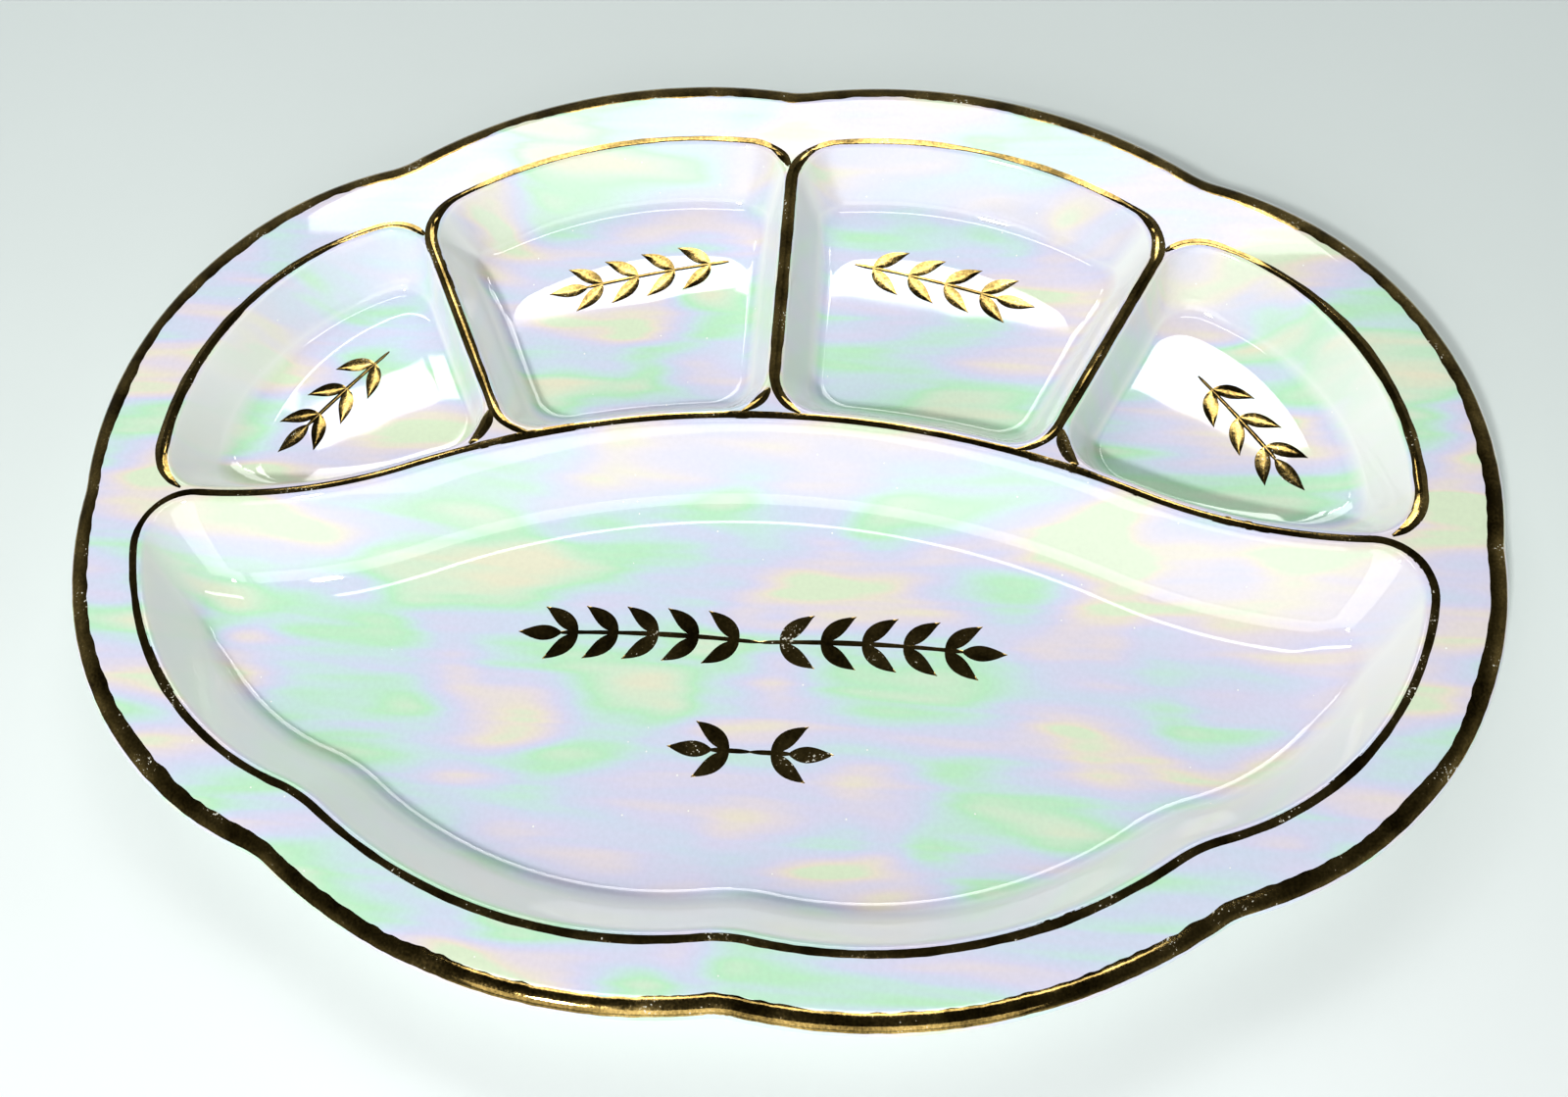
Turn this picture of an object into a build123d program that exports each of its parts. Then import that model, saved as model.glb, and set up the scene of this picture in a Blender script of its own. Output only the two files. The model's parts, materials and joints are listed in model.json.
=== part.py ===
from build123d import *
import os
from math import cos, radians, sin, sqrt

# An oval seder plate of white porcelain: four small wells behind one large well, all lined in gold.
# X runs along the plate, Y to its back and Z up. The origin is under its middle, on the table.

# The rim in plan: eight lobes that meet in eight soft notches
end_notch_x = 188.5  # the notch at each end
end_notch_y = -7.0  # the end notches lie a little in front of the middle
long_notch_y = 133.0  # the notches at the middle of the front and of the back
corner_notch_x = 118.0
corner_notch_y = 103.5
long_lobe_radius = 150.0  # the lobes at the front and the back
end_lobe_radius = 98.0
notch_radius = 24.0

# Heights and thicknesses
foot_height = 3.5
floor_thickness = 4.5
well_depth = 19.0
rim_thickness = 5.0
side_wall = 5.0  # across a sloping wall, measured level
lip_radius = 2.2  # the edge of the rim is rounded above and below

# The flat rim and the crests between the wells
rim_width = 20.0  # beside the large well
back_rim_width = 23.0  # behind the small wells
line_width = 2.0  # a painted gold line
edge_round = 1.0  # the brow where a well turns down

# The bowed ridge between the large well and the small ones
ridge_middle_y = 22.5
ridge_radius = 260.0
ridge_turn = 22.0  # degrees, where the bow turns into the flare at each end

# The dividers between the small wells: one in the middle, and one from each back corner notch
divider_foot_setback = 25.4  # from the joint of bow and flare to the foot of a side divider, along X

# How far each wall of a well runs in on its way down
rim_run = 11.0
divider_run = 7.0
ridge_back_run = 10.0
ridge_front_run = 21.0
mouth_corner = 12.0  # corner radius of a well at the top
floor_corner = 9.0  # and at the floor
floor_round = 6.0  # the hollow where wall and floor meet

# The foot under the floor
foot_inset = 58.0  # from the edge of the rim to the outside of the foot
foot_width = 5.0
foot_round = 1.2

# The gold
gilt = 0.25
lip_band_width = 3.2  # on top of the rim
lip_band_drop = 3.0  # down the outside of the lip
stroke_gap = 0.05  # between two strokes that meet

# The painted sprigs: stem, leaves and their places
stem_width = 1.5
leaf_width = 4.6
leaf_length = 12.0
leaf_angle = 48.0  # degrees between a leaf and the stem
leaf_spacing = 11.0
stem_bow = 400.0  # radius of the stem's bend
inner_sprig_pairs = 4  # pairs of leaves
inner_sprig_turn = -14.0  # degrees, the way the stem points on the right half
inner_sprig_margin = 10.0  # from the foot of the middle divider
inner_sprig_depth = 15.0  # from the foot of the wall at the back
outer_sprig_pairs = 3
outer_sprig_turn = -52.0
outer_sprig_reach = 70.5  # from the notch at the end of the plate
outer_sprig_depth = 20.0
large_sprig_pairs = 5  # pairs of leaves each way from the middle
large_sprig_depth = 35.5  # from the foot of the ridge
low_sprig_pairs = 1
low_sprig_depth = 65.5

# What follows from these sizes
floor_height = foot_height + floor_thickness
rim_height = floor_height + well_depth
crest_width = line_width + 2 * edge_round
turn = radians(ridge_turn)
ridge_drop = ridge_middle_y - end_notch_y
ridge_flare_radius = ridge_drop / (1 - cos(turn)) - ridge_radius
ridge_flare_x = (ridge_radius + ridge_flare_radius) * sin(turn)
divider_foot_x = ridge_radius * sin(turn) - divider_foot_setback


class Arc:
    """A round side of an outline. The space it bounds lies inside the circle, or outside if it is hollow."""

    def __init__(self, center, radius, hollow=False):
        self.center = center
        self.radius = radius
        self.hollow = hollow

    def inset(self, by):
        change = by if self.hollow else -by
        return Arc(self.center, self.radius + change, self.hollow)

    def flip(self):
        return Arc(flipped(self.center), self.radius, self.hollow)

    def touch(self, point):
        return self.center + (point - self.center).normalized() * self.radius

    def draw(self, start, end):
        ThreePointArc(start, self.touch((start + end) / 2), end)


class Straight:
    """A straight side through a point. The space it bounds lies on the side that inward points to."""

    def __init__(self, point, inward):
        self.point = point
        self.inward = inward

    def inset(self, by):
        return Straight(self.point + self.inward * by, self.inward)

    def flip(self):
        return Straight(flipped(self.point), flipped(self.inward))

    def touch(self, point):
        return point - self.inward * (point - self.point).dot(self.inward)

    def draw(self, start, end):
        Line(start, end)


def flipped(point):
    """The same point on the other half of the plate."""
    return Vector(-point.X, point.Y)


def crossing(one, other, near):
    """The point nearest to near where two sides cross. At least one of them is round."""
    if isinstance(one, Straight):
        one, other = other, one
    if isinstance(other, Straight):
        base = other.touch(one.center)
        across = other.inward.rotate(Axis.Z, 90)
    else:
        way = other.center - one.center
        along = (way.length**2 + one.radius**2 - other.radius**2) / (2 * way.length)
        base = one.center + way.normalized() * along
        across = way.normalized().rotate(Axis.Z, 90)
    half = sqrt(one.radius**2 - (base - one.center).length ** 2)
    spots = (base + across * half, base - across * half)
    return min(spots, key=lambda spot: (spot - near).length)


def corner_round(one, other, near, radius):
    """Start, middle and end of the arc that rounds a corner. A notch has a negative radius."""
    if radius == 0:
        joint = one.touch(other.center)
        return joint, joint, joint
    center = crossing(one.inset(radius), other.inset(radius), near)
    start = one.touch(center)
    end = other.touch(center)
    middle = center + (start + end - center * 2).normalized() * abs(radius)
    return start, middle, end


def draw_outline(sides, corners):
    """Draws the sides in turn as one closed line. Each corner, a place and a radius, follows its side."""
    count = len(sides)
    rounds = [corner_round(sides[i], sides[(i + 1) % count], *corners[i]) for i in range(count)]
    for i in range(count):
        sides[i].draw(rounds[i - 1][2], rounds[i][0])
        if corners[i][1] != 0:
            ThreePointArc(*rounds[i])


def lobe(start, end, radius):
    """The lobe from one notch to the next, going clockwise."""
    chord = end - start
    inward = chord.normalized().rotate(Axis.Z, -90)
    return Arc((start + end) / 2 + inward * sqrt(radius**2 - (chord.length / 2) ** 2), radius)


# The notches and lobes of the right half
back_notch = Vector(0, long_notch_y)
back_corner = Vector(corner_notch_x, corner_notch_y)
end_notch = Vector(end_notch_x, end_notch_y)
front_corner = Vector(corner_notch_x, -corner_notch_y)
front_notch = Vector(0, -long_notch_y)
back_lobe = lobe(back_notch, back_corner, long_lobe_radius)
end_back_lobe = lobe(back_corner, end_notch, end_lobe_radius)
end_front_lobe = lobe(end_notch, front_corner, end_lobe_radius)
front_lobe = lobe(front_corner, front_notch, long_lobe_radius)

# The ridge and the right divider
ridge_center = Vector(0, ridge_middle_y - ridge_radius)
flare_center = Vector(ridge_flare_x, end_notch_y + ridge_flare_radius)
divider_foot = Vector(divider_foot_x, ridge_center.Y + sqrt(ridge_radius**2 - divider_foot_x**2))
divider_right = (back_corner - divider_foot).normalized().rotate(Axis.Z, -90)


def plate_outline(out):
    """The edge of the plate, moved outwards."""
    right = [back_lobe, end_back_lobe, end_front_lobe, front_lobe]
    sides = right + [side.flip() for side in reversed(right)]
    notches = [back_corner, end_notch, front_corner, front_notch]
    notches += [flipped(front_corner), flipped(end_notch), flipped(back_corner), back_notch]
    draw_outline([side.inset(-out) for side in sides], [(notch, out - notch_radius) for notch in notches])


def large_well_outline(spread, out):
    """The large well at its mouth, spread 0, or its floor, spread 1, moved outwards."""
    rim_inset = rim_width + rim_run * spread - out
    ridge_inset = crest_width / 2 + ridge_front_run * spread - out
    corner = corner_radius(spread, out)
    notch = -(notch_radius + rim_inset)
    lobes = [end_front_lobe, front_lobe, front_lobe.flip(), end_front_lobe.flip()]
    flare = Arc(flare_center, ridge_flare_radius, hollow=True)
    ridge = [flare.flip(), Arc(ridge_center, ridge_radius), flare]
    sides = [side.inset(rim_inset) for side in lobes] + [side.inset(ridge_inset) for side in ridge]
    corners = [(front_corner, notch), (front_notch, notch), (flipped(front_corner), notch)]
    corners += [(flipped(end_notch), corner), (end_notch, 0), (end_notch, 0), (end_notch, corner)]
    draw_outline(sides, corners)


def inner_well_outline(spread, out):
    """The small well beside the middle divider, on the right."""
    rim_inset = back_rim_width + rim_run * spread - out
    ridge_inset = crest_width / 2 + ridge_back_run * spread - out
    divider_inset = crest_width / 2 + divider_run * spread - out
    sides = [
        back_lobe.inset(rim_inset),
        Straight(divider_foot, -divider_right).inset(divider_inset),
        Arc(ridge_center, ridge_radius, hollow=True).inset(ridge_inset),
        Straight(Vector(0, 0), Vector(1, 0)).inset(divider_inset),
    ]
    places = [back_corner, divider_foot, Vector(0, ridge_middle_y), back_notch]
    draw_outline(sides, [(place, corner_radius(spread, out)) for place in places])


def outer_well_outline(spread, out):
    """The small well at the right end."""
    rim_inset = back_rim_width + rim_run * spread - out
    ridge_inset = crest_width / 2 + ridge_back_run * spread - out
    divider_inset = crest_width / 2 + divider_run * spread - out
    corner = corner_radius(spread, out)
    sides = [
        end_back_lobe.inset(rim_inset),
        Arc(flare_center, ridge_flare_radius).inset(ridge_inset),
        Arc(ridge_center, ridge_radius, hollow=True).inset(ridge_inset),
        Straight(divider_foot, divider_right).inset(divider_inset),
    ]
    draw_outline(sides, [(end_notch, corner), (end_notch, 0), (divider_foot, corner), (back_corner, corner)])


def corner_radius(spread, out):
    return mouth_corner + (floor_corner - mouth_corner) * spread + out


# Every well: its outline, and whether it is the mirror image of that outline
wells = {
    "large_well": (large_well_outline, False),
    "right_inner_well": (inner_well_outline, False),
    "left_inner_well": (inner_well_outline, True),
    "right_outer_well": (outer_well_outline, False),
    "left_outer_well": (outer_well_outline, True),
}


def well_plan(name, height, spread, out):
    """The face of a well's outline at a height."""
    outline, mirrored = wells[name]
    with BuildSketch(Plane.XY.offset(height)) as plan:
        with BuildLine():
            outline(spread, out)
        make_face()
        if mirrored:
            mirror(about=Plane.YZ, mode=Mode.REPLACE)
    return plan.sketch


def plate_plan(height, out):
    """The face of the plate's outline at a height."""
    with BuildSketch(Plane.XY.offset(height)) as plan:
        with BuildLine():
            plate_outline(out)
        make_face()
    return plan.sketch


os.makedirs("parts", exist_ok=True)

# The rim as a flat slab with a rounded edge
with BuildPart() as rim_slab:
    add(plate_plan(rim_height, 0))
    extrude(amount=-rim_thickness)
    rim_faces = rim_slab.faces().sort_by(Axis.Z)
    fillet(rim_faces[0].edges() + rim_faces[-1].edges(), lip_radius)

# The hollows of the five wells
hollows = []
for name in wells:
    with BuildPart() as hollow:
        loft([well_plan(name, rim_height, 0, 0), well_plan(name, floor_height, 1, 0)], ruled=True)
        fillet(hollow.faces().sort_by(Axis.Z)[0].edges(), floor_round)
    hollows.append(hollow.part)

# The porcelain body: rim and bowls in one casting
with BuildPart() as plate_body:
    add(rim_slab.part)
    for name in wells:
        bowl_top = well_plan(name, rim_height - rim_thickness / 2, 0, side_wall)
        loft([bowl_top, well_plan(name, foot_height, 1, side_wall)], ruled=True)
    for hollow_part in hollows:
        add(hollow_part, mode=Mode.SUBTRACT)
    top_face = plate_body.faces().filter_by(Axis.Z).sort_by(Axis.Z)[-1]
    fillet([edge for wire in top_face.inner_wires() for edge in wire.edges()], edge_round)
plate_body.part.label = "plate_body"
export_step(plate_body.part, "parts/plate_body.step")

# The unglazed foot ring under the floors
with BuildPart() as foot_ring:
    with BuildSketch():
        add(plate_plan(0, -foot_inset))
        add(plate_plan(0, -foot_inset - foot_width), mode=Mode.SUBTRACT)
    extrude(amount=foot_height)
    fillet(foot_ring.faces().sort_by(Axis.Z)[0].edges(), foot_round)
foot_ring.part.label = "foot_ring"
export_step(foot_ring.part, "parts/foot_ring.step")

# The gold band over the lip
with BuildPart() as rim_gilding:
    add(plate_plan(rim_height - lip_band_drop, gilt))
    extrude(amount=lip_band_drop + gilt)
    fillet(rim_gilding.faces().sort_by(Axis.Z)[-1].edges(), lip_radius + gilt)
    add(rim_slab.part, mode=Mode.SUBTRACT)
    with BuildSketch(Plane.XY.offset(rim_height)):
        add(plate_plan(0, -lip_band_width))
    extrude(amount=gilt, mode=Mode.SUBTRACT)
rim_gilding.part.label = "rim_gilding"
export_step(rim_gilding.part, "parts/rim_gilding.step")

# The gold line round each well. A crest between two wells has one line, which belongs to the first of them
painted = []
for name in wells:
    with BuildPart() as well_line:
        with BuildSketch(Plane.XY.offset(rim_height)):
            add(well_plan(name, 0, 0, edge_round + line_width))
            add(well_plan(name, 0, 0, edge_round), mode=Mode.SUBTRACT)
            for other in painted:
                add(well_plan(other, 0, 0, edge_round + line_width + stroke_gap), mode=Mode.SUBTRACT)
        extrude(amount=gilt)
    painted.append(name)
    well_line.part.label = f"{name}_line"
    export_step(well_line.part, f"parts/{name}_line.step")


def leaf():
    """A pointed leaf along X, from its stalk to its tip."""
    with BuildSketch() as shape:
        with BuildLine():
            ThreePointArc((0, 0), (leaf_length / 2, leaf_width / 2), (leaf_length, 0))
            ThreePointArc((0, 0), (leaf_length / 2, -leaf_width / 2), (leaf_length, 0))
        make_face()
    return shape.sketch


def branch(pairs):
    """A bowed stem from the origin along X, with pairs of leaves and one more leaf at its end."""
    with BuildSketch() as shape:
        with BuildLine():
            stem = RadiusArc((0, 0), (leaf_spacing * pairs, 0), stem_bow)
        trace(line_width=stem_width)
        shoots = [((i + 0.5) / pairs, side * leaf_angle) for i in range(pairs) for side in (-1, 1)]
        for along, angle in shoots + [(1 - stem_width / stem.length, 0)]:
            with Locations(Location(stem @ along, (0, 0, stem.tangent_angle_at(along) + angle))):
                add(leaf())
    return shape.sketch


# The gold sprigs on the floors of the four small wells
floor_inset = back_rim_width + rim_run
inner_sprig_x = crest_width / 2 + divider_run + inner_sprig_margin
inner_sprig_start = (inner_sprig_x, long_notch_y - floor_inset - inner_sprig_depth, 0)
outer_sprig_x = end_notch_x - outer_sprig_reach
outer_sprig_start = (outer_sprig_x, corner_notch_y - floor_inset - outer_sprig_depth, 0)
small_sprigs = [
    ("inner_well", inner_sprig_pairs, inner_sprig_start, inner_sprig_turn),
    ("outer_well", outer_sprig_pairs, outer_sprig_start, outer_sprig_turn),
]
for side in ("right", "left"):
    for well, pairs, start, angle in small_sprigs:
        with BuildPart() as sprig:
            with BuildSketch(Plane.XY.offset(floor_height)):
                with Locations(Location(start, (0, 0, angle))):
                    add(branch(pairs))
                if side == "left":
                    mirror(about=Plane.YZ, mode=Mode.REPLACE)
            extrude(amount=gilt)
        sprig.part.label = f"{side}_{well}_sprig"
        export_step(sprig.part, f"parts/{side}_{well}_sprig.step")

# The two double sprigs on the floor of the large well
ridge_foot_y = ridge_middle_y - crest_width / 2 - ridge_front_run
double_sprigs = [
    ("large_well_sprig", large_sprig_pairs, large_sprig_depth),
    ("large_well_small_sprig", low_sprig_pairs, low_sprig_depth),
]
for name, pairs, depth in double_sprigs:
    with BuildPart() as double_sprig:
        with BuildSketch(Plane.XY.offset(floor_height)):
            with Locations((0, ridge_foot_y - depth)):
                add(branch(pairs))
            mirror(about=Plane.YZ)
        extrude(amount=gilt)
    double_sprig.part.label = name
    export_step(double_sprig.part, f"parts/{name}.step")
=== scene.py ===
# %% [markdown]
# A seder plate of white porcelain with a mother-of-pearl lustre and painted gold lines.
# The imported model is loaded first as a fixed frame. It gives the heights that everything here sits on.

# %% Load the frame
import json
from math import acos, atan2, ceil, cos, pi, radians, sin, sqrt

import bmesh
import bpy
from mathutils import Matrix, Vector, noise

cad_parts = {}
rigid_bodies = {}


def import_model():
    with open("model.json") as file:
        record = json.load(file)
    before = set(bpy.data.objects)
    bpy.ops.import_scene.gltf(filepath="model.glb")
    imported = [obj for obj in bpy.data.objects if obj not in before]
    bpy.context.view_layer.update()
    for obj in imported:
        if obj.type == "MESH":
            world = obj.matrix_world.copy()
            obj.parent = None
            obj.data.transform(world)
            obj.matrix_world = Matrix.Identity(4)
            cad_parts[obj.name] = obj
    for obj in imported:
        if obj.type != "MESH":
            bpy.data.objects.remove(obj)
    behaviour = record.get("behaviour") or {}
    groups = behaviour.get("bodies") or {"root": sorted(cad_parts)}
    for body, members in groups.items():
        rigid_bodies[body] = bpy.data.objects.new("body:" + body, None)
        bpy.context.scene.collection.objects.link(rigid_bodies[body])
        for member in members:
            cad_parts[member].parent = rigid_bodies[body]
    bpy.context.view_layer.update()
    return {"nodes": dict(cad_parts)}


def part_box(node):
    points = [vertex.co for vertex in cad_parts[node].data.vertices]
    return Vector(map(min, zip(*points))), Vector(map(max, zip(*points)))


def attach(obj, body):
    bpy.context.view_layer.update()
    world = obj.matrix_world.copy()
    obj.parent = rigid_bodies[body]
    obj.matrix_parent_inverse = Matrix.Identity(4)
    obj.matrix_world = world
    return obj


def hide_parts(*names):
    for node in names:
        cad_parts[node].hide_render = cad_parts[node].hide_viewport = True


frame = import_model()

MM = 0.001
rim_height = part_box("plate_body")[1].z / MM
floor_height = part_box("large_well_sprig")[0].z / MM
foot_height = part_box("foot_ring")[1].z / MM
well_depth = rim_height - floor_height
print(f"rim at {rim_height:.1f} mm, floors at {floor_height:.1f} mm, foot {foot_height:.1f} mm high")

# %% [markdown]
# The plan of the plate is made of arcs: eight lobes that meet in soft notches, a bowed ridge that flares at
# its ends, and straight dividers. Every line on the plate, from the lip to the floors, is one of these arcs
# moved in or out. So the plan is kept as sides that can be inset, and corners that are rounded afterwards.
# Curves drawn by hand would be quicker, but they wouldn't keep their distance from each other.
# Sizes are in millimetres, the same ones that the solids were built from. Only the reaches and spreads are
# the scene's own: a reach is how far a wall sweeps into the floor, and a spread shortens a wall's run.

# %% Sizes of the plan
end_notch_x = 188.5
end_notch_y = -7.0
long_notch_y = 133.0
corner_notch_x = 118.0
corner_notch_y = 103.5
long_lobe_radius = 150.0
end_lobe_radius = 98.0
notch_radius = 24.0
rim_width = 20.0
back_rim_width = 23.0
line_width = 2.0
edge_round = 1.0
crest_width = line_width + 2 * edge_round
ridge_middle_y = 22.5
ridge_radius = 260.0
ridge_turn = radians(22.0)
divider_foot_setback = 25.4
rim_run = 11.0
divider_run = 7.0
ridge_back_run = 10.0
ridge_front_run = 21.0
mouth_corner = 12.0
floor_corner = 9.0
rim_reach = {"large_well": 4.0, "inner_well": 17.0, "outer_well": 8.0}
ridge_reach = {"large_well": 12.0, "inner_well": 2.5, "outer_well": 2.0}
divider_reach = {"inner_well": 3.5, "outer_well": 2.0}
outer_spread = 0.8
front_spread = 0.9
ridge_flare_radius = (ridge_middle_y - end_notch_y) / (1 - cos(ridge_turn)) - ridge_radius
ridge_flare_x = (ridge_radius + ridge_flare_radius) * sin(ridge_turn)
divider_foot_x = ridge_radius * sin(ridge_turn) - divider_foot_setback


# %% Sides of an outline
def turned(way, quarter):
    """A plan direction turned by a quarter, to the left with 1 and to the right with -1."""
    return Vector((-way.y * quarter, way.x * quarter))


def flipped(point):
    """The same point on the other half of the plate."""
    return Vector((-point.x, point.y))


class Arc:
    """A round side. The space it bounds lies inside the circle, or outside if it is hollow."""

    def __init__(self, center, radius, hollow=False):
        self.center = center
        self.radius = radius
        self.hollow = hollow

    def inset(self, by):
        change = by if self.hollow else -by
        return Arc(self.center, self.radius + change, self.hollow)

    def flip(self):
        return Arc(flipped(self.center), self.radius, self.hollow)

    def touch(self, point):
        return self.center + (point - self.center).normalized() * self.radius

    def sweep(self, start, end):
        one = start - self.center
        other = end - self.center
        return atan2(one.x * other.y - one.y * other.x, one.dot(other))

    def length(self, start, end):
        return abs(self.sweep(start, end)) * self.radius

    def between(self, start, end, share):
        angle = self.sweep(start, end) * share
        arm = start - self.center
        arm = Vector((arm.x * cos(angle) - arm.y * sin(angle), arm.x * sin(angle) + arm.y * cos(angle)))
        return self.center + arm


class Straight:
    """A straight side through a point. The space it bounds lies on the side that inward points to."""

    def __init__(self, point, inward):
        self.point = point
        self.inward = inward

    def inset(self, by):
        return Straight(self.point + self.inward * by, self.inward)

    def flip(self):
        return Straight(flipped(self.point), flipped(self.inward))

    def touch(self, point):
        return point - self.inward * (point - self.point).dot(self.inward)

    def length(self, start, end):
        return (end - start).length

    def between(self, start, end, share):
        return start.lerp(end, share)


def crossing(one, other, near):
    """The point nearest to near where two sides cross. At least one of them is round."""
    if isinstance(one, Straight):
        one, other = other, one
    if isinstance(other, Straight):
        base = other.touch(one.center)
        across = turned(other.inward, 1)
    else:
        way = other.center - one.center
        along = (way.length_squared + one.radius**2 - other.radius**2) / (2 * way.length)
        base = one.center + way.normalized() * along
        across = turned(way.normalized(), 1)
    half = sqrt(one.radius**2 - (base - one.center).length_squared)
    spots = (base + across * half, base - across * half)
    return min(spots, key=lambda spot: (spot - near).length)


def outline_runs(sides, corners):
    """The runs of a closed outline: each side, then the arc that rounds the corner after it."""
    count = len(sides)
    rounds = []
    for i in range(count):
        one, other = sides[i], sides[(i + 1) % count]
        near, radius = corners[i]
        if radius == 0:
            joint = one.touch(other.center)
            rounds.append((None, joint, joint))
        else:
            center = crossing(one.inset(radius), other.inset(radius), near)
            rounds.append((Arc(center, abs(radius)), one.touch(center), other.touch(center)))
    runs = []
    for i in range(count):
        runs.append((sides[i], rounds[i - 1][2], rounds[i][1]))
        if rounds[i][0]:
            runs.append(rounds[i])
    return runs


# %% Notches, lobes, ridge and dividers
def lobe(start, end, radius):
    """The lobe from one notch to the next, going clockwise."""
    chord = end - start
    inward = turned(chord.normalized(), -1)
    return Arc((start + end) / 2 + inward * sqrt(radius**2 - chord.length_squared / 4), radius)


back_notch = Vector((0, long_notch_y))
back_corner = Vector((corner_notch_x, corner_notch_y))
end_notch = Vector((end_notch_x, end_notch_y))
front_corner = Vector((corner_notch_x, -corner_notch_y))
front_notch = Vector((0, -long_notch_y))
back_lobe = lobe(back_notch, back_corner, long_lobe_radius)
end_back_lobe = lobe(back_corner, end_notch, end_lobe_radius)
end_front_lobe = lobe(end_notch, front_corner, end_lobe_radius)
front_lobe = lobe(front_corner, front_notch, long_lobe_radius)
ridge_center = Vector((0, ridge_middle_y - ridge_radius))
flare_center = Vector((ridge_flare_x, end_notch_y + ridge_flare_radius))
divider_foot = Vector((divider_foot_x, ridge_center.y + sqrt(ridge_radius**2 - divider_foot_x**2)))
divider_right = turned((back_corner - divider_foot).normalized(), -1)


# %% Outlines of the plate and the wells
def corner_radius(spread, out):
    return mouth_corner + (floor_corner - mouth_corner) * spread + out


def plate_runs(out):
    """The edge of the plate, moved outwards."""
    right = [back_lobe, end_back_lobe, end_front_lobe, front_lobe]
    lobes = right + [side.flip() for side in reversed(right)]
    notches = [back_corner, end_notch, front_corner, front_notch]
    notches += [flipped(front_corner), flipped(end_notch), flipped(back_corner), back_notch]
    sides = [side.inset(-out) for side in lobes]
    return outline_runs(sides, [(notch, out - notch_radius) for notch in notches])


def large_well_runs(spread, out, reach=0):
    """The large well from its mouth, spread 0, to the foot of its walls, spread 1, moved outwards.

    With reach 1 it is the edge of the flat floor, where the hollow sweep from the walls has run out.
    """
    rim_inset = rim_width + rim_run * front_spread * spread + rim_reach["large_well"] * reach - out
    ridge_inset = crest_width / 2 + ridge_front_run * spread + ridge_reach["large_well"] * reach - out
    corner = corner_radius(spread, out)
    notch = -(notch_radius + rim_inset)
    lobes = [end_front_lobe, front_lobe, front_lobe.flip(), end_front_lobe.flip()]
    flare = Arc(flare_center, ridge_flare_radius, hollow=True)
    ridge = [flare.flip(), Arc(ridge_center, ridge_radius), flare]
    sides = [side.inset(rim_inset) for side in lobes] + [side.inset(ridge_inset) for side in ridge]
    corners = [(front_corner, notch), (front_notch, notch), (flipped(front_corner), notch)]
    corners += [(flipped(end_notch), corner), (end_notch, 0), (end_notch, 0), (end_notch, corner)]
    return outline_runs(sides, corners)


def inner_well_runs(spread, out, reach=0):
    """The small well beside the middle divider, on the right."""
    rim_inset = back_rim_width + rim_run * spread + rim_reach["inner_well"] * reach - out
    ridge_inset = crest_width / 2 + ridge_back_run * spread + ridge_reach["inner_well"] * reach - out
    divider_inset = crest_width / 2 + divider_run * spread + divider_reach["inner_well"] * reach - out
    sides = [
        back_lobe.inset(rim_inset),
        Straight(divider_foot, -divider_right).inset(divider_inset),
        Arc(ridge_center, ridge_radius, hollow=True).inset(ridge_inset),
        Straight(Vector((0, 0)), Vector((1, 0))).inset(divider_inset),
    ]
    places = [back_corner, divider_foot, Vector((0, ridge_middle_y)), back_notch]
    return outline_runs(sides, [(place, corner_radius(spread, out)) for place in places])


def outer_well_runs(spread, out, reach=0):
    """The small well at the right end, whose walls are steeper than those of the other wells."""
    spread *= outer_spread
    rim_inset = back_rim_width + rim_run * spread + rim_reach["outer_well"] * reach - out
    ridge_inset = crest_width / 2 + ridge_back_run * spread + ridge_reach["outer_well"] * reach - out
    divider_inset = crest_width / 2 + divider_run * spread + divider_reach["outer_well"] * reach - out
    corner = corner_radius(spread, out)
    sides = [
        end_back_lobe.inset(rim_inset),
        Arc(flare_center, ridge_flare_radius).inset(ridge_inset),
        Arc(ridge_center, ridge_radius, hollow=True).inset(ridge_inset),
        Straight(divider_foot, divider_right).inset(divider_inset),
    ]
    corners = [(end_notch, corner), (end_notch, 0), (divider_foot, corner), (back_corner, corner)]
    return outline_runs(sides, corners)


def run_counts(runs, step):
    """How many points each run of an outline takes, at about one per step."""
    return [max(2, round(shape.length(start, end) / step)) for shape, start, end in runs]


def run_points(runs, counts):
    """Points along the runs in plan. The same counts on two outlines give points that face each other."""
    points = []
    for (shape, start, end), count in zip(runs, counts):
        points += [shape.between(start, end, k / count) for k in range(count)]
    return points


def lifted(points, height):
    """Plan points in millimetres as points in space in metres."""
    return [Vector((point.x, point.y, height)) * MM for point in points]


outline_step = 2.2
wells = {"large_well": large_well_runs, "inner_well": inner_well_runs, "outer_well": outer_well_runs}
well_counts = {name: run_counts(runs(0, 0), outline_step) for name, runs in wells.items()}
print({name: sum(counts) for name, counts in well_counts.items()})

# %% [markdown]
# The porcelain is one casting. By hand one would draw a loop, extrude it down the wall of a well ring by
# ring, and close it on the floor. This does the same: a circle is put on the first ring, each extrusion is
# put on the next one, and the last is merged to a point. Rings of one outline keep the highlights smooth,
# where a remeshed solid would ripple.


# %% Extruding a loop from ring to ring
def put_selected(mesh, points):
    """Moves each selected vertex to its own point of the ring."""
    bm = bmesh.from_edit_mesh(mesh)
    order = bm.verts.layers.int["order"]
    for vert in bm.verts:
        if vert.select:
            vert.co = points[vert[order]]
    bmesh.update_edit_mesh(mesh)


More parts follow.
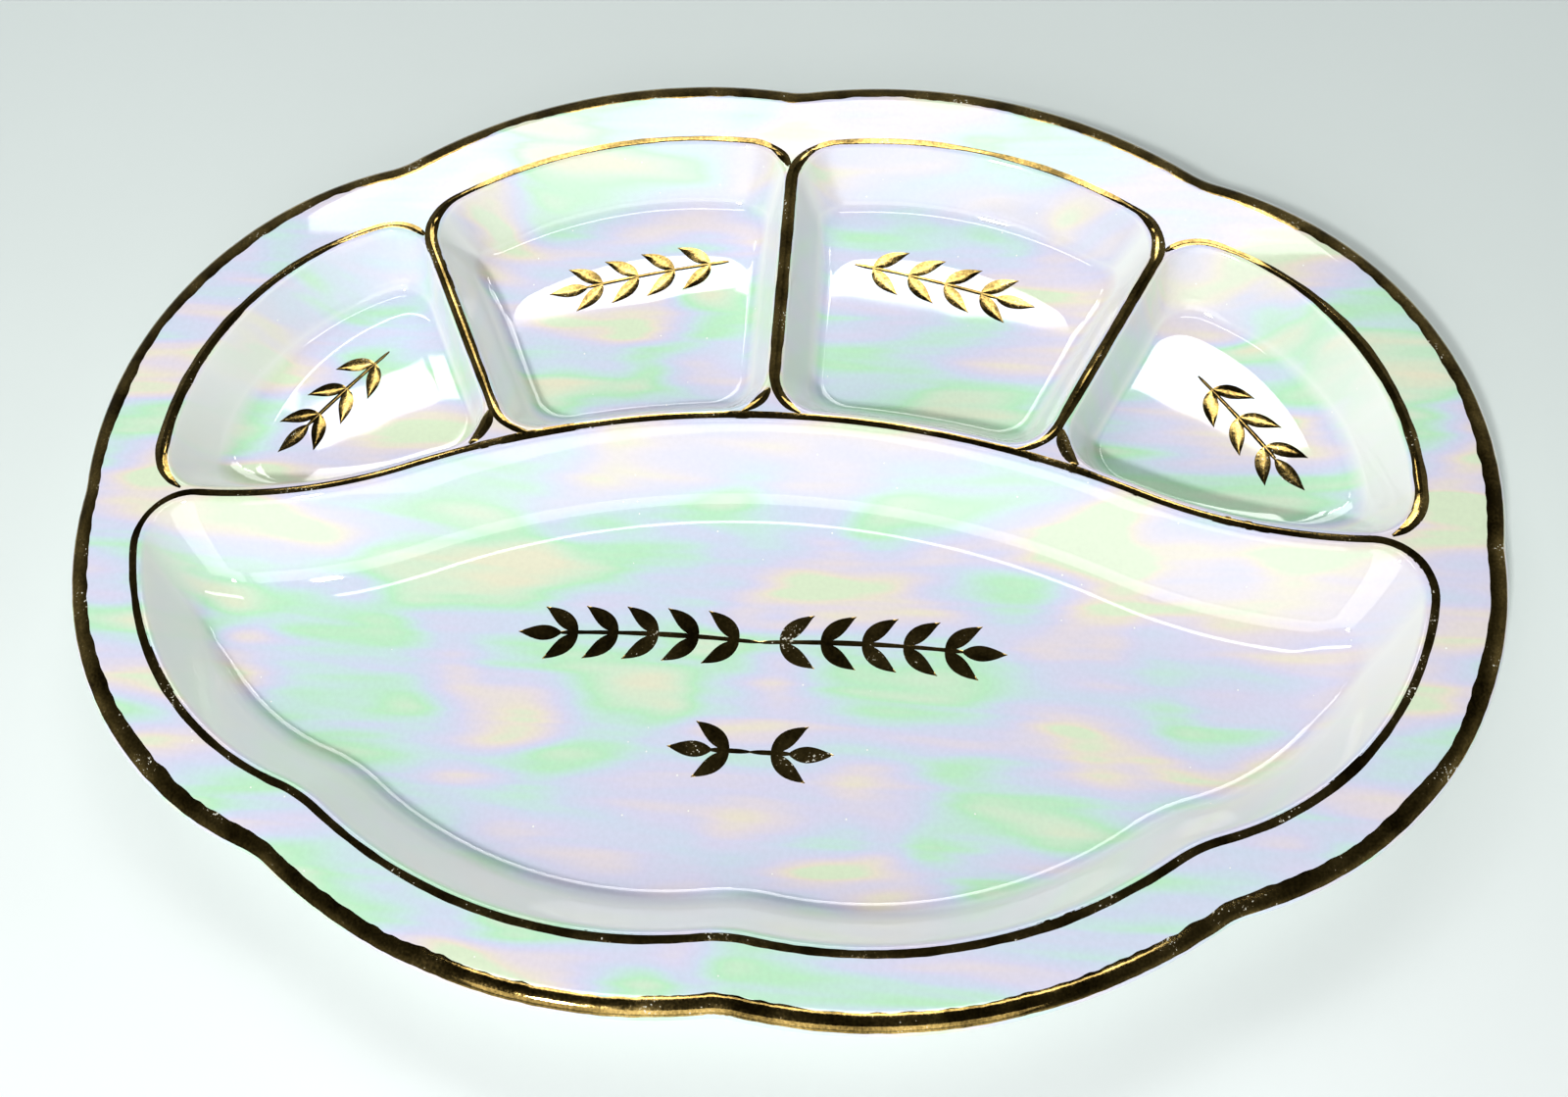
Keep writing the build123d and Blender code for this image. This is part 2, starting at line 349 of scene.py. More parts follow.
def extrude_rings(name, rings, closed=True):
    """A skin through a stack of rings, closed at the last one."""
    bpy.ops.object.select_all(action="DESELECT")
    bpy.ops.mesh.primitive_circle_add(vertices=len(rings[0]), radius=0.1)
    piece = bpy.context.object
    piece.name = name
    order = piece.data.attributes.new("order", "INT", "POINT")
    order.data.foreach_set("value", range(len(rings[0])))
    bpy.ops.object.mode_set(mode="EDIT")
    bpy.ops.mesh.select_all(action="SELECT")
    put_selected(piece.data, rings[0])
    for ring in rings[1:]:
        bpy.ops.mesh.extrude_edges_move()
        put_selected(piece.data, ring)
    if closed:
        bpy.ops.mesh.extrude_edges_move()
        bpy.ops.mesh.merge(type="CENTER")
    bpy.ops.object.mode_set(mode="OBJECT")
    piece.data.attributes.remove(piece.data.attributes["order"])
    return piece


def mirror_copy(piece):
    """The same piece on the other half of the plate, with its own mesh."""
    bpy.ops.object.select_all(action="DESELECT")
    piece.select_set(True)
    bpy.context.view_layer.objects.active = piece
    bpy.ops.object.duplicate()
    copy = bpy.context.object
    copy.data.transform(Matrix.Scale(-1, 4, Vector((1, 0, 0))))
    return copy


def join_pieces(name, pieces):
    """One or more pieces as one mesh under one name."""
    bpy.ops.object.select_all(action="DESELECT")
    for piece in pieces:
        piece.select_set(True)
    bpy.context.view_layer.objects.active = pieces[0]
    if len(pieces) > 1:
        bpy.ops.object.join()
    joined = bpy.context.object
    joined.name = name
    joined.data.name = name
    return joined


# %% [markdown]
# A wall starts level on the crest, turns over a small brow, runs straight and then sweeps into the floor.
# Brow and sweep are parabolas, which join the straight parts with no kink. A bevel would round them too, but
# with one radius all round. Here the sweep reaches far from the rim and is short at the dividers, so a lamp
# behind the plate shows as a bar on each small floor. Each ring is given as its spread, how far it is moved
# out, its reach, and how deep it lies.

# %% Profile of a well
brow_share = 0.07
brow_steps = 6
slope_end = 0.7
slope_places = (0.2, 0.33, 0.47, slope_end)
sweep_steps = 20
floor_scales = (0.8, 0.6, 0.4, 0.2)
land_margin = 0.35


def parabola(start, middle, end, steps):
    """Points on a parabola that leaves start and reaches end heading for middle."""
    points = []
    for k in range(1, steps + 1):
        t = k / steps
        shares = ((1 - t) ** 2, 2 * t * (1 - t), t**2)
        points.append(tuple(sum(s * p[i] for s, p in zip(shares, (start, middle, end))) for i in range(4)))
    return points


brow_start = (0, edge_round, 0, 0)
brow_end = (brow_share, 0, 0, brow_share * well_depth)
slope_foot = (slope_end, 0, 0, slope_end * well_depth)
well_profile = [(0, edge_round + land_margin, 0, 0), brow_start]
well_profile += parabola(brow_start, (0, 0, 0, 0), brow_end, brow_steps)
well_profile += [(spread, 0, 0, spread * well_depth) for spread in slope_places]
well_profile += parabola(slope_foot, (1, 0, 0, well_depth), (1, 0, 1, well_depth), sweep_steps)


def profile_rings(name, profile, top, scales):
    """The rings of a well or a bowl down its profile from the height top, then smaller ones on its flat."""
    rings = []
    for spread, out, reach, depth in profile:
        points = run_points(wells[name](spread, out, reach), well_counts[name])
        rings.append(lifted(points, top - depth))
    edge = rings[-1]
    middle = sum(edge, Vector()) / len(edge)
    return rings + [[middle.lerp(point, scale) for point in edge] for scale in scales]


hollows = []
for name in wells:
    rings = profile_rings(name, well_profile, rim_height, floor_scales)
    hollows.append(extrude_rings(name, rings))
hollows += [mirror_copy(hollow) for hollow in hollows[1:]]
print([len(hollow.data.polygons) for hollow in hollows])

# %% [markdown]
# The underside isn't seen in the photograph. It follows the wells as a casting of even thickness does: five
# bowls below a level rim, with a narrow groove under each crest. A thickness modifier could give it in one
# step, but the walls are thicker than half a crest, so its two sides would run into each other there.

# %% Bowls on the underside
rim_thickness = 5.0
side_wall = 5.0
groove_half = 0.6
groove_height = rim_height - rim_thickness
groove_out = crest_width / 2 - groove_half
bowl_drop = groove_height - foot_height
bowl_sweep = 0.7
bowl_places = (0.06, 0.15, 0.3, 0.45, bowl_sweep - 0.1, bowl_sweep)
bowl_steps = 8
bowl_floor = 0.7
bowl_scales = (0.5,)
under_margin = 0.25


def bowl_place(share):
    """A place on the straight wall of a bowl, as a share of the way down."""
    return (share, groove_out + (side_wall - groove_out) * share, 0, bowl_drop * share)


bowl_profile = [(0, groove_out + under_margin, 0, 0), (0, groove_out, 0, 0)]
bowl_profile += [bowl_place(share) for share in bowl_places]
bowl_end = (1, side_wall, bowl_floor, bowl_drop)
bowl_profile += parabola(bowl_place(bowl_sweep), bowl_place(1), bowl_end, bowl_steps)

bowls = []
for name in wells:
    rings = profile_rings(name, bowl_profile, groove_height, bowl_scales)
    bowls.append(extrude_rings(f"{name}_bowl", rings))
bowls += [mirror_copy(bowl) for bowl in bowls[1:]]
print(len(bowls), "bowls")

# %% [markdown]
# The lip is a half oval along the edge of the plate. Its rings run from the flat of the rim over the edge
# and back underneath. A rounded bevel on the edge of the rim would do for a plain lip, but rings keep its
# points in step along the notches. The flat between lip and wells is then filled round the five wells, once
# on top and once below.

# %% The lip
lip_flat = 10.0
flat_margin = 1.0
lip_roll = 7.0
roll_margin = 0.7
lip_half = rim_thickness / 2
lip_steps = 20
lip_step = outline_step * 0.75
plate_counts = run_counts(plate_runs(0), lip_step)
flat_places = (-lip_flat, -lip_flat + flat_margin, -lip_roll - roll_margin)
lip_profile = [(out, rim_thickness) for out in flat_places]
for k in range(lip_steps + 1):
    angle = pi / 2 - pi * k / lip_steps
    lip_profile.append((lip_roll * (cos(angle) - 1), lip_half * (1 + sin(angle))))
lip_profile += [(out, 0) for out in reversed(flat_places)]
lip_rings = []
for out, up in lip_profile:
    lip_rings.append(lifted(run_points(plate_runs(out), plate_counts), groove_height + up))
lip = extrude_rings("lip", lip_rings, closed=False)
print(f"lip: {len(lip.data.polygons)} faces")

# %% Filling the rim and finishing the body
level_tolerance = 1e-5
body = join_pieces("glazed_porcelain_body", [lip] + hollows + bowls)


def fill_level(piece, height):
    """Fills the flat between the open loops that lie at one height."""
    bpy.ops.object.mode_set(mode="EDIT")
    bpy.ops.mesh.select_mode(type="EDGE")
    bpy.ops.mesh.select_all(action="DESELECT")
    bm = bmesh.from_edit_mesh(piece.data)
    for edge in bm.edges:
        level = all(abs(vert.co.z - height * MM) < level_tolerance for vert in edge.verts)
        edge.select_set(edge.is_boundary and level)
    bmesh.update_edit_mesh(piece.data)
    bpy.ops.mesh.fill(use_beauty=True)
    bpy.ops.mesh.select_mode(type="VERT")
    bpy.ops.object.mode_set(mode="OBJECT")


fill_level(body, rim_height)
fill_level(body, groove_height)
bpy.ops.object.mode_set(mode="EDIT")
bpy.ops.mesh.select_all(action="SELECT")
bpy.ops.mesh.normals_make_consistent(inside=False)
bpy.ops.object.mode_set(mode="OBJECT")
bpy.ops.object.shade_smooth()
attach(body, "root")
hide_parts("plate_body")
print(f"body: {len(body.data.polygons)} faces")

# %% [markdown]
# The gold was painted with a brush, so each line is a stroke: a thin bead that is highest in its middle and
# as wide as the hand left it. A curve with a bevel would be quicker, but it wouldn't follow the sweeps.
# So a stroke starts as a grid, one row of vertices across the brush for each point of its path, and is laid
# on the porcelain below it. The same stroke makes the lines, the stems and the leaves. Where the line of a
# small well runs from front to back, as on a divider, the bead is wider and stands up to a sharp crest, whose
# sides mirror the dim sides of the room.

# %% A brush stroke
gilt = 0.05
stroke_rows = 8
stroke_step = 1.1
crest_rise = 0.7
crest_widening = 0.75
crest_from = 0.5
weld_distance = 1e-6
smooth_angle = radians(30)
slow_waver = 0.32
slow_length = 22
quick_waver = 0.14
quick_length = 5
quick_seed = 7


def surface_height(point):
    """The height of the porcelain under a plan point, in metres."""
    above = Vector((point.x * MM, point.y * MM, 1))
    return body.ray_cast(above, Vector((0, 0, -1)))[1].z


def brush_stroke(path, widths, closed=False, crest_share=0):
    """A bead of gold along plan points, as wide at each as its width.

    With crest_share 1 it has a crest, and is wider, where it runs from front to back.
    """
    count = len(path)
    columns = count if closed else count - 1
    bpy.ops.object.select_all(action="DESELECT")
    bpy.ops.mesh.primitive_grid_add(x_subdivisions=columns, y_subdivisions=stroke_rows, size=0.1)
    piece = bpy.context.object
    for column in range(columns + 1):
        here = path[column % count]
        ahead = path[(column + 1) % count] if closed else path[min(column + 1, count - 1)]
        behind = path[(column - 1) % count] if closed else path[max(column - 1, 0)]
        along = (ahead - behind).normalized()
        across = turned(along, 1)
        shared = crest_share * max(0, abs(along.y) - crest_from) / (1 - crest_from)
        half = widths[column % count] / 2 * (1 + crest_widening * shared)
        for row in range(stroke_rows + 1):
            share = 2 * row / stroke_rows - 1
            share *= abs(share)
            point = here + across * half * share
            rise = gilt * (1 - share**2) + crest_rise * shared * (1 - abs(share))
            height = surface_height(point) + rise * MM
            piece.data.vertices[row * (columns + 1) + column].co = (point.x * MM, point.y * MM, height)
    if closed:
        bpy.ops.object.mode_set(mode="EDIT")
        bpy.ops.mesh.select_all(action="SELECT")
        bpy.ops.mesh.remove_doubles(threshold=weld_distance)
        bpy.ops.object.mode_set(mode="OBJECT")
    return piece


def finish_gold(piece, node):
    """Gives a stroke its thin body and its place in the assembly."""
    bpy.ops.object.select_all(action="DESELECT")
    piece.select_set(True)
    bpy.context.view_layer.objects.active = piece
    piece.name = f"gilded_{node}"
    piece.data.name = piece.name
    bpy.ops.object.mode_set(mode="EDIT")
    bpy.ops.mesh.select_all(action="SELECT")
    bpy.ops.mesh.normals_make_consistent(inside=False)
    bpy.ops.object.mode_set(mode="OBJECT")
    if sum(face.normal.z for face in piece.data.polygons) < 0:
        piece.data.flip_normals()
    shell = piece.modifiers.new("shell", "SOLIDIFY")
    shell.thickness = 2 * gilt * MM
    shell.offset = -1
    bpy.ops.object.modifier_apply(modifier="shell")
    bpy.ops.object.shade_smooth_by_angle(angle=smooth_angle)
    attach(piece, "root")
    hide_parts(node)
    print(piece.name, len(piece.data.polygons), "faces")
    return piece


def hand_widths(path, width, seed, taper=0):
    """Widths along a path that waver as a hand does, and taper over some points at both ends."""
    widths = []
    for k, point in enumerate(path):
        slow = noise.noise(Vector((point.x / slow_length, point.y / slow_length, seed)))
        quick = noise.noise(Vector((point.x / quick_length, point.y / quick_length, seed + quick_seed)))
        ends = min(1, (min(k, len(path) - 1 - k) + 0.5) / taper) if taper else 1
        widths.append(width * (1 + slow_waver * slow + quick_waver * quick) * sqrt(ends))
    return widths


# %% [markdown]
# The large well has one closed line. Each small well has a line round the sides that it doesn't share with a
# line painted before it, and the ends of these strokes run out where they meet the older line. That leaves
# small white triangles at the joints. Closed lines round all five wells would be simpler, but two of them
# would lie on each divider.


# %% Lines round the wells
large_line_width = line_width * 1.1
line_out = edge_round + line_width / 2
line_taper = 4
merge = 0.26


def path_of(runs, picks):
    """Plan points along some runs of an outline, which start and end where the line meets an older one."""
    points = []
    for index in picks:
        shape, start, end = runs[index]
        first = merge if index == picks[0] else 0
        last = 1 - merge if index == picks[-1] else 1
        count = max(2, ceil(shape.length(start, end) * (last - first) / stroke_step))
        points += [shape.between(start, end, first + (last - first) * k / count) for k in range(count)]
    points.append(shape.between(start, end, last))
    return points


def mirrored_paths(paths):
    """The same paths on the other half of the plate."""
    return [[flipped(point) for point in path] for path in paths]


def painted_line(node, paths, seed):
    """One node's line, of one or more strokes."""
    strokes = []
    for k, path in enumerate(paths):
        widths = hand_widths(path, line_width, seed + k, taper=line_taper)
        strokes.append(brush_stroke(path, widths, crest_share=1))
    return finish_gold(join_pieces(node, strokes), node)


large_runs = large_well_runs(0, line_out)
large_path = run_points(large_runs, run_counts(large_runs, stroke_step))
large_widths = hand_widths(large_path, large_line_width, seed=1)
large_line = brush_stroke(large_path, large_widths, closed=True)
gold_pieces = [finish_gold(large_line, "large_well_line")]

# Runs are counted from the rim: 0 is the rim, 1 the corner after it, and so on round the well.
inner_runs = inner_well_runs(0, line_out)
outer_runs = outer_well_runs(0, line_out)
round_inner = (5, 6, 7, 0, 1, 2, 3)
left_inner = (7, 0, 1, 2, 3)
left_inner_foot = (5,)
outer_edge = (6, 0, 1)
outer_foot = (4,)
right_inner_paths = [path_of(inner_runs, round_inner)]
left_inner_paths = mirrored_paths([path_of(inner_runs, picks) for picks in (left_inner, left_inner_foot)])
right_outer_paths = [path_of(outer_runs, picks) for picks in (outer_edge, outer_foot)]
left_outer_paths = mirrored_paths(right_outer_paths)
gold_pieces.append(painted_line("right_inner_well_line", right_inner_paths, seed=11))
gold_pieces.append(painted_line("left_inner_well_line", left_inner_paths, seed=23))
gold_pieces.append(painted_line("right_outer_well_line", right_outer_paths, seed=37))
gold_pieces.append(painted_line("left_outer_well_line", left_outer_paths, seed=41))

# %% [markdown]
# The band on the lip wraps over the half oval. Its two edges waver with the brush and are worn by use, so
# its inner edge on the rim and its outer edge on the lip move in and out along the way. A strip cut from the
# lip's own faces could be lifted off instead, but its edges would follow the mesh.

# %% The band over the lip
band_width = 5.2
band_bottom = radians(25)
band_steps = 12
band_rise = gilt * 0.7
waver_length = 25
waver_seed = 3
wear_length = 3.5
wear_seed = 5
top_waver = 0.22
top_wear = 0.1
bottom_waver = 0.25
bottom_wear = 0.12
band_counts = run_counts(plate_runs(0), stroke_step)
band_path = run_points(plate_runs(0), band_counts)
band_inward = run_points(plate_runs(-1), band_counts)


def lip_point(edge, inward, angle):
    """A point on the lip and the way it faces: angle 0 is the outermost line of the lip."""
    way = (inward - edge).normalized()
    place = edge + way * lip_roll * (1 - cos(angle))
    tilt = Vector((cos(angle) / lip_roll, sin(angle) / lip_half)).normalized()
    return place, rim_height - lip_half * (1 - sin(angle)), Vector((-way.x * tilt.x, -way.y * tilt.x, tilt.y))


band_rings = [[] for _ in range(band_steps + 1)]
for edge, inward in zip(band_path, band_inward):
    waver = noise.noise(Vector((edge.x / waver_length, edge.y / waver_length, waver_seed)))
    wear = noise.noise(Vector((edge.x / wear_length, edge.y / wear_length, wear_seed)))
    first = acos(1 - band_width * (1 + top_waver * waver + top_wear * wear) / lip_roll)
    last = band_bottom * (1 + bottom_waver * waver + bottom_wear * wear)
    for k in range(band_steps + 1):
        share = k / band_steps
        place, height, normal = lip_point(edge, inward, first + (last - first) * share)
        rise = band_rise * (1 - (2 * share - 1) ** 4)
        point = Vector((place.x, place.y, height)) + normal * rise
        band_rings[k].append(point * MM)
band = extrude_rings("band", band_rings, closed=False)
gold_pieces.append(finish_gold(band, "rim_gilding"))

# %% [markdown]
# Leaf sprigs stand on the floors. A stem is a bowed stroke, and a leaf is a short stroke that swells in its
# middle. They follow the sweep of the floors, because every stroke is laid on the porcelain. Flat shapes
# pressed onto the floor would do as well, but they would have no bead.

# %% Sprigs
stem_width = 1.3
stem_bow = 400.0
stem_taper = 3
leaf_width = 4.4
leaf_length = 12.0
leaf_angle = radians(48.0)
leaf_spacing = 11.0
leaf_steps = 15
leaf_tip = 0.04
leaf_fullness = 0.8
leaf_bend = 0.35
end_leaf_bend = 0.1
inner_sprig_pairs = 4
inner_sprig_turn = radians(-14.0)
inner_sprig_margin = 10.0
inner_sprig_depth = 15.0
outer_sprig_pairs = 3
outer_sprig_turn = radians(-52.0)
outer_sprig_reach = 70.5
outer_sprig_depth = 20.0
large_sprig_pairs = 5
large_sprig_depth = 35.5
low_sprig_pairs = 1
low_sprig_depth = 65.5
floor_inset = back_rim_width + rim_run
ridge_foot_y = ridge_middle_y - crest_width / 2 - ridge_front_run
inner_sprig_x = crest_width / 2 + divider_run + inner_sprig_margin
inner_start = Vector((inner_sprig_x, long_notch_y - floor_inset - inner_sprig_depth))
outer_start = Vector((end_notch_x - outer_sprig_reach, corner_notch_y - floor_inset - outer_sprig_depth))
large_start = Vector((0, ridge_foot_y - large_sprig_depth))
low_start = Vector((0, ridge_foot_y - low_sprig_depth))
sprigs = {
    "right_inner_well_sprig": (inner_sprig_pairs, inner_start, inner_sprig_turn, "right"),
    "left_inner_well_sprig": (inner_sprig_pairs, inner_start, inner_sprig_turn, "left"),
    "right_outer_well_sprig": (outer_sprig_pairs, outer_start, outer_sprig_turn, "right"),
    "left_outer_well_sprig": (outer_sprig_pairs, outer_start, outer_sprig_turn, "left"),
    "large_well_sprig": (large_sprig_pairs, large_start, 0, "both"),
    "large_well_small_sprig": (low_sprig_pairs, low_start, 0, "both"),
}


def heading(angle):
    """The plan direction at an angle from X."""
    return Vector((cos(angle), sin(angle)))


def leaf_stroke(start, angle, bend):
    """Path and widths of one leaf, which bends a little and ends in a point."""
    path = []
    widths = []
    point = start.copy()
    for k in range(leaf_steps + 1):
        share = k / leaf_steps
        path.append(point.copy())
        widths.append(leaf_width * max(leaf_tip, sin(pi * share**leaf_fullness)))
        point += heading(angle + bend * k / leaf_steps) * (leaf_length / leaf_steps)
    return path, widths


def sprig_strokes(pairs, start, angle):
    """Paths and widths of a stem with its pairs of leaves and the leaf at its end."""
    length = leaf_spacing * pairs
    count = ceil(length / stroke_step)
    bow = length / stem_bow
    stem = [start]
    for k in range(count):
        stem.append(stem[-1] + heading(angle + bow * (0.5 - k / count)) * (length / count))
    strokes = [(stem, hand_widths(stem, stem_width, seed=angle, taper=stem_taper))]
    for pair in range(pairs):
        share = (pair + 0.5) / pairs
        along = angle + bow * (0.5 - share)
        place = stem[round(share * count)]
        for side in (-1, 1):
            strokes.append(leaf_stroke(place, along + side * leaf_angle, -side * leaf_bend))
    strokes.append(leaf_stroke(stem[-2], angle - bow / 2, end_leaf_bend))
    return strokes


for node, (pairs, start, angle, half) in sprigs.items():
    strokes = sprig_strokes(pairs, start, angle)
    mirrored = [([flipped(point) for point in path], widths) for path, widths in strokes]
    strokes = {"right": strokes, "left": mirrored, "both": strokes + mirrored}[half]
    pieces = [brush_stroke(path, widths) for path, widths in strokes]
    gold_pieces.append(finish_gold(join_pieces(node, pieces), node))

# %% [markdown]
# Finishes are built from nodes, so that they can be looked at from anywhere. Colours are written as they look
# on a screen and turned to linear values by one function. One more function adds a node with its settings and
# links.


# %% Colour and node helpers
def linear(hex_colour):
    """An sRGB hex colour as the linear values that a shader takes."""
    values = [int(hex_colour[i : i + 2], 16) / 255 for i in (1, 3, 5)]
    return tuple(v / 12.92 if v <= 0.04045 else ((v + 0.055) / 1.055) ** 2.4 for v in values) + (1,)


def add_node(tree, kind, inputs=None, **settings):
    """Adds a node, applies its settings, and sets or links its inputs."""
    made = tree.nodes.new(kind)
    for key, value in settings.items():
        setattr(made, key, value)
    for key, value in (inputs or {}).items():
        if isinstance(value, bpy.types.NodeSocket):
            tree.links.new(value, made.inputs[key])
        else:
            made.inputs[key].default_value = value
    return made


def add_ramp(tree, factor, stops, interpolation="LINEAR"):
    """A colour ramp through stops of place and hex colour."""
    made = add_node(tree, "ShaderNodeValToRGB", {"Fac": factor})
    ramp = made.color_ramp
    ramp.interpolation = interpolation
    while len(ramp.elements) < len(stops):
        ramp.elements.new(0.5)
    for element, (place, colour) in zip(ramp.elements, stops):
        element.position = place
        element.color = linear(colour)
    return made.outputs["Color"]


def add_noise(tree, place, size, detail=2.0, distortion=0.0):
    """Noise whose blots are about as large as size, in millimetres along X, Y and Z."""
    scaled = add_node(tree, "ShaderNodeMapping", {"Vector": place, "Scale": [1 / (s * MM) for s in size]})
    inputs = {"Vector": scaled.outputs[0], "Scale": 1.0, "Detail": detail, "Distortion": distortion}
    return add_node(tree, "ShaderNodeTexNoise", inputs).outputs["Fac"]


def add_math(tree, operation, *values):
    """One step of arithmetic on numbers or sockets."""
    return add_node(tree, "ShaderNodeMath", dict(enumerate(values)), operation=operation).outputs[0]


def add_range(tree, value, low, high, to_low, to_high):
    """A number moved from one range to another, and held at its ends."""
    return add_node(tree, "ShaderNodeMapRange", {0: value, 1: low, 2: high, 3: to_low, 4: to_high}).outputs[0]


def add_mix(tree, factor, first, second, blend="MIX"):
    """Two colours mixed."""
    inputs = {"Factor": factor, 6: first, 7: second}
    return add_node(tree, "ShaderNodeMix", inputs, data_type="RGBA", blend_type=blend).outputs[2]


def new_material(name):
    """A new material: its tree, its shader and its place on the object."""
    material = bpy.data.materials.new(name)
    material.use_nodes = True
    tree = material.node_tree
    place = add_node(tree, "ShaderNodeTexCoord").outputs["Object"]
    return material, tree, tree.nodes["Principled BSDF"], place


def link_inputs(tree, shader, **sockets):
    """Links sockets to the shader's inputs, which are named with capitals and spaces."""
    for name, socket in sockets.items():
        tree.links.new(socket, shader.inputs[name.replace("_", " ").title()])


def dress(piece, material):
    """Gives a piece one material."""
    piece.data.materials.clear()
    piece.data.materials.append(material)


# %% [markdown]
# Mother-of-pearl lustre is a metal-oxide film fired onto clear-glazed porcelain. Its thickness varies with
# every brush load, so colours follow each other as in an oil film: green, blue, lilac, rose, cream. The
# shader's own thin film could give them, but it changes with the view and can't be set colour by colour. So a
# soft noise stands for the thickness, a second one, stretched from left to right along the brush, draws it
# out, and a ramp turns it to those colours. Walls that face the front took the brush too. Other steep walls
# are painted near white instead, a painted brightening that lifts these walls out of the shade they stand
# in. Specks of kiln dust lie in the glaze.

# %% Lustre porcelain
lustre, tree, shader, place = new_material("lustre_glazed_porcelain")
patches = add_noise(tree, place, (58, 24, 60), detail=1.0, distortion=0.6)
strokes = add_noise(tree, place, (90, 9, 30), detail=2.0, distortion=0.3)
film = add_math(tree, "MULTIPLY_ADD", strokes, 0.55, patches)
film_colours = [
    (0.50, "#e8e6cc"),
    (0.58, "#d4ead0"),
    (0.65, "#bdebc6"),
    (0.72, "#cae5e3"),
    (0.77, "#d1dcee"),
    (0.84, "#dad8ee"),
    (0.91, "#e6dce2"),
    (0.96, "#ebe3d2"),
    (1.00, "#dcebcc"),
]
film_colour = add_ramp(tree, film, film_colours)
grain = add_noise(tree, place, (1.3, 1.3, 1.3), detail=2.0)
grain_tone = add_ramp(tree, grain, [(0.3, "#fafafa"), (0.7, "#ffffff")])
grained = add_mix(tree, 1.0, film_colour, grain_tone, "MULTIPLY")
# Painted brightening: steep walls that don't face the front get near white in place of the film, to lift
# their shade.
normal = add_node(tree, "ShaderNodeNewGeometry").outputs["Normal"]
facing = add_node(tree, "ShaderNodeSeparateXYZ", {0: normal}).outputs
level = add_range(tree, facing["Z"], 0.5, 0.88, 0.1, 1.0)
forward = add_range(tree, facing["Y"], -0.25, -0.6, 0.0, 0.8)
shown = add_math(tree, "MULTIPLY", forward, add_range(tree, facing["Z"], 0.0, 0.1, 0.0, 1.0))
covered = add_math(tree, "MAXIMUM", level, shown)
film_with_painted_wall_light = add_mix(tree, covered, linear("#fafdf8"), grained)
cells = add_node(tree, "ShaderNodeTexVoronoi", {"Vector": place, "Scale": 1 / (4.5 * MM)})
cell_shade = add_node(tree, "ShaderNodeSeparateColor", {0: cells.outputs["Color"]}).outputs[0]
few = add_math(tree, "GREATER_THAN", cell_shade, 0.72)
near = add_math(tree, "LESS_THAN", cells.outputs["Distance"], 0.055)
dust = add_math(tree, "MULTIPLY", few, near)
dusted = add_mix(tree, dust, film_with_painted_wall_light, linear("#fdfdf8"))
ripple = add_noise(tree, place, (26, 18, 20), detail=1.0)
bump = add_node(tree, "ShaderNodeBump", {"Height": ripple, "Strength": 0.12, "Distance": 0.3 * MM}).outputs[0]
gloss = add_range(tree, strokes, 0.3, 0.7, 0.015, 0.04)
link_inputs(tree, shader, base_color=dusted, roughness=gloss, normal=bump)
shader.inputs["IOR"].default_value = 1.6
dress(body, lustre)
print(lustre.name)

# %% [markdown]
# Bright gold is brushed on as a brown resin and fired to a mirror a few thousandths of a millimetre thick. It
# shows the dark ceiling almost black, and turns yellow where it mirrors a lamp. Brush marks and wear break it
# up: thin brown places, and specks where the white porcelain shows through.

# %% Gold
gilding, tree, shader, place = new_material("burnished_gold_brushed")
cloud = add_noise(tree, place, (12, 12, 12), detail=3.0)
speck = add_noise(tree, place, (0.7, 0.7, 0.7), detail=3.0)
tone = add_math(tree, "MULTIPLY_ADD", speck, 0.5, cloud)
gold_colour = add_ramp(tree, tone, [(0.55, "#4a3c1e"), (0.75, "#86703e"), (0.95, "#b89c5e")])
worn = add_range(tree, add_math(tree, "MULTIPLY_ADD", speck, 1.2, cloud), 1.4, 1.46, 0.0, 1.0)
worn_colour = add_mix(tree, worn, gold_colour, linear("#d5d6cc"))
metal = add_math(tree, "SUBTRACT", 1.0, worn)
gloss = add_range(tree, tone, 0.6, 0.95, 0.04, 0.12)
bump = add_node(tree, "ShaderNodeBump", {"Height": speck, "Strength": 0.1, "Distance": 0.05 * MM}).outputs[0]
link_inputs(tree, shader, base_color=worn_colour, metallic=metal, roughness=gloss, normal=bump)
for piece in gold_pieces:
    dress(piece, gilding)
print(gilding.name, "on", len(gold_pieces), "pieces")

# %% [markdown]
# The foot was wiped free of glaze so that it wouldn't stick in the kiln, and ground flat. Bare porcelain is
# matt and slightly warm, with a little dust from the table.

# %% Bare foot
bisque, tree, shader, place = new_material("unglazed_ground_porcelain")
grit = add_noise(tree, place, (0.8, 0.8, 0.8), detail=4.0)
grime = add_noise(tree, place, (14, 14, 14), detail=3.0)
mixed = add_math(tree, "MULTIPLY_ADD", grit, 0.4, grime)
bare_colour = add_ramp(tree, mixed, [(0.5, "#b9ae9e"), (0.7, "#d8d0c3"), (0.9, "#e6e0d6")])
bump = add_node(tree, "ShaderNodeBump", {"Height": grit, "Strength": 0.4, "Distance": 0.15 * MM}).outputs[0]
link_inputs(tree, shader, base_color=bare_colour, normal=bump)
shader.inputs["Roughness"].default_value = 0.75
dress(frame["nodes"]["foot_ring"], bisque)
print(bisque.name)
